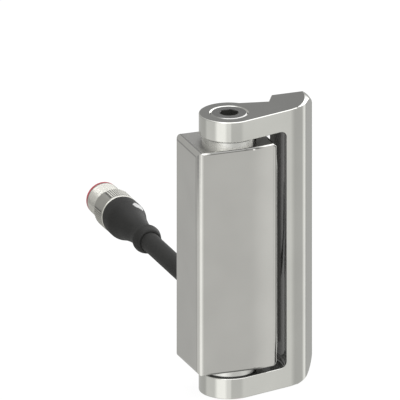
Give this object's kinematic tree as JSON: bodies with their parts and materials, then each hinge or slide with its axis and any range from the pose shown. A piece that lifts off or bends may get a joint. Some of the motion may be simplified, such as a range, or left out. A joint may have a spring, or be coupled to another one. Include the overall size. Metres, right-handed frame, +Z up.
{
  "type": "safety hinge switch",
  "caption": "Metal safety switch built into a door hinge: upright switch body between the arms of a swinging bracket, with a short rear cable and a round screw connector.",
  "frame": {"origin": "on the mounting face of the switch body, in line with the hinge pins, at mid-height", "axes": "+Z up along the hinge, +X from the switch body to the leaf, +Y out of the mounting face, -Y to the front"},
  "size_m": [0.0495, 0.1337, 0.1],
  "materials": {
    "bracket_steel": "satin",
    "body_steel": "satin",
    "pin_steel": "satin",
    "washer_steel": "satin",
    "cover_steel": "satin",
    "screw_steel": "satin",
    "bronze": "satin",
    "magnet": "satin",
    "black_plastic": "matte",
    "seal_rubber": "matte",
    "boot_rubber": "matte",
    "board_green": "satin",
    "chip_black": "matte",
    "wire_copper": "satin",
    "cable_sheath": "matte",
    "grip_plastic": "matte",
    "mark_white": "matte",
    "gold_contacts": "polished",
    "nut_nickel": "satin",
    "ring_red": "gloss"
  },
  "bodies": {
    "switch": {"switch_housing": "body_steel", "upper_bush": "bronze", "lower_bush": "bronze", "upper_washer": "washer_steel", "lower_washer": "washer_steel", "shaft_seals": "seal_rubber", "rear_cover": "cover_steel", "cover_gasket": "seal_rubber", "cover_screws": "screw_steel", "sensor_board": "board_green", "sensor_chip": "chip_black", "control_board": "board_green", "controller_chips": "chip_black", "board_header": "black_plastic", "cable_boot": "boot_rubber", "cable_clamp": "screw_steel", "conductors": "wire_copper", "cable": "cable_sheath", "connector_grip": "grip_plastic", "coding_mark": "mark_white", "contact_carrier": "black_plastic", "contact_pins": "gold_contacts"},
    "bracket": {"hinge_bracket": "bracket_steel", "upper_pivot_pin": "pin_steel", "lower_pivot_pin": "pin_steel", "magnet_carrier": "black_plastic", "code_magnet": "magnet"},
    "coupling": {"coupling_nut": "nut_nickel", "mouth_ring": "ring_red"}
  },
  "joints": [
    {"name": "door_swing", "type": "hinge", "parent": "switch", "child": "bracket", "pos_m": [0, -0.0114, 0], "axis": [0, 0, -1], "range_deg": [0, 180]},
    {"name": "coupling_spin", "type": "hinge", "parent": "switch", "child": "coupling", "pos_m": [0, 0.1, -0.0231], "axis": [0, 1, 0], "continuous": true}
  ]
}
